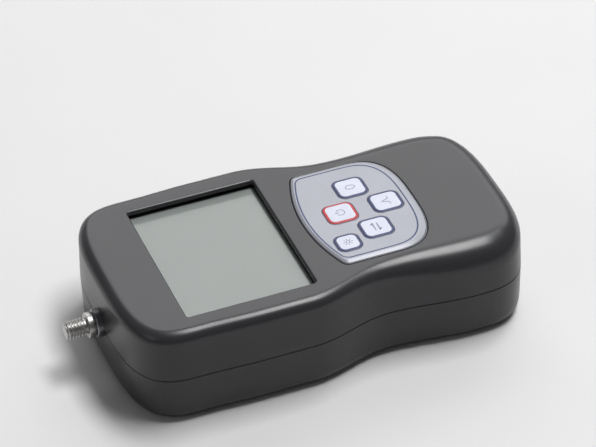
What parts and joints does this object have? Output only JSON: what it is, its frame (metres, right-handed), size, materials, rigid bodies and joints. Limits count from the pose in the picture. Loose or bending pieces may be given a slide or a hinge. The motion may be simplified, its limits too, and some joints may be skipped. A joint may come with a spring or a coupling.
{
  "type": "digital force gauge",
  "caption": "Hand-held digital force gauge: waisted housing with a threaded measuring shaft, a large display window, a silver keypad with square keys, stand holes and sockets.",
  "frame": {"origin": "centre of the four stand holes, on the back face", "axes": "-X along the measuring shaft, out of the housing; +Z out of the display; +Y to the display's long side that is further from the picture's camera"},
  "size_m": [0.1458, 0.0738, 0.0351],
  "materials": {
    "shell_paint": "satin dark graphite paint with a fine grain",
    "black_steel": "black oxide",
    "insert_brass": "plain turned",
    "window_clear": "clear, lightly reflective",
    "black_plastic": "moulded, matte",
    "lcd_surface": "grey-green reflective display, blank",
    "white_plastic": "smooth",
    "black_rubber": "matte",
    "board_green": "solder mask",
    "zinc_steel": "zinc plated",
    "keypad_silver": "satin silver",
    "key_white_red": "white with a red outline",
    "key_white": "white with a dark blue outline",
    "shaft_steel": "turned stainless steel",
    "bush_steel": "turned, satin",
    "bracket_aluminium": "milled",
    "cell_aluminium": "milled, fine",
    "gauge_foil": "polyimide foil",
    "cable_grey": "smooth cable jacket",
    "battery_green": "wrapped cell",
    "sleeve_blue": "shrink sleeve",
    "foam_grey": "adhesive foam",
    "wire_red": "wire insulation"
  },
  "bodies": {
    "housing": {"front_shell": "shell_paint", "rear_shell": "shell_paint", "housing_screws": "black_steel", "stand_inserts": "insert_brass", "display_window": "window_clear", "window_tape": "black_plastic", "lcd_glass": "lcd_surface", "lcd_bezel": "black_plastic", "backlight_panel": "white_plastic", "zebra_strips": "black_rubber", "main_board": "board_green", "board_screws": "zinc_steel", "board_chips": "black_plastic", "board_connectors": "white_plastic", "keypad_panel": "keypad_silver", "key_switches": "zinc_steel", "shaft_bush": "bush_steel", "overload_stop": "bracket_aluminium", "stop_screws": "zinc_steel", "load_cell": "cell_aluminium", "strain_gauges": "gauge_foil", "cell_bracket": "bracket_aluminium", "bracket_screws": "zinc_steel", "cell_screw": "black_steel", "cell_cable": "cable_grey", "battery_cells": "battery_green", "battery_tabs": "zinc_steel", "battery_sleeve": "sleeve_blue", "battery_pads": "foam_grey", "battery_lead": "wire_red", "charge_socket": "black_plastic", "data_socket": "black_plastic", "socket_board": "board_green", "socket_screws": "zinc_steel", "socket_lead": "cable_grey"},
    "key_power": {"key_power": "key_white_red", "plunger_power": "black_plastic"},
    "key_zero": {"key_zero": "key_white", "plunger_zero": "black_plastic"},
    "key_peak": {"key_peak": "key_white", "plunger_peak": "black_plastic"},
    "key_unit": {"key_unit": "key_white", "plunger_unit": "black_plastic"},
    "key_light": {"key_light": "key_white", "plunger_light": "black_plastic"},
    "shaft": {"measuring_shaft": "shaft_steel", "shaft_nut": "zinc_steel"}
  },
  "joints": [
    {"name": "shaft_travel", "type": "slide", "parent": "housing", "child": "shaft", "axis": [1, 0, 0], "range_m": [-0.0003, 0.0003], "stiffness_N_per_m": 33000, "deforming": ["load_cell"]},
    {"name": "key_power_press", "type": "slide", "parent": "housing", "child": "key_power", "axis": [0, 0, -1], "range_m": [0, 0.0004], "stiffness_N_per_m": 3750},
    {"name": "key_zero_press", "type": "slide", "parent": "housing", "child": "key_zero", "axis": [0, 0, -1], "range_m": [0, 0.0004], "stiffness_N_per_m": 3750},
    {"name": "key_peak_press", "type": "slide", "parent": "housing", "child": "key_peak", "axis": [0, 0, -1], "range_m": [0, 0.0004], "stiffness_N_per_m": 3750},
    {"name": "key_unit_press", "type": "slide", "parent": "housing", "child": "key_unit", "axis": [0, 0, -1], "range_m": [0, 0.0004], "stiffness_N_per_m": 3750},
    {"name": "key_light_press", "type": "slide", "parent": "housing", "child": "key_light", "axis": [0, 0, -1], "range_m": [0, 0.0004], "stiffness_N_per_m": 3750}
  ]
}
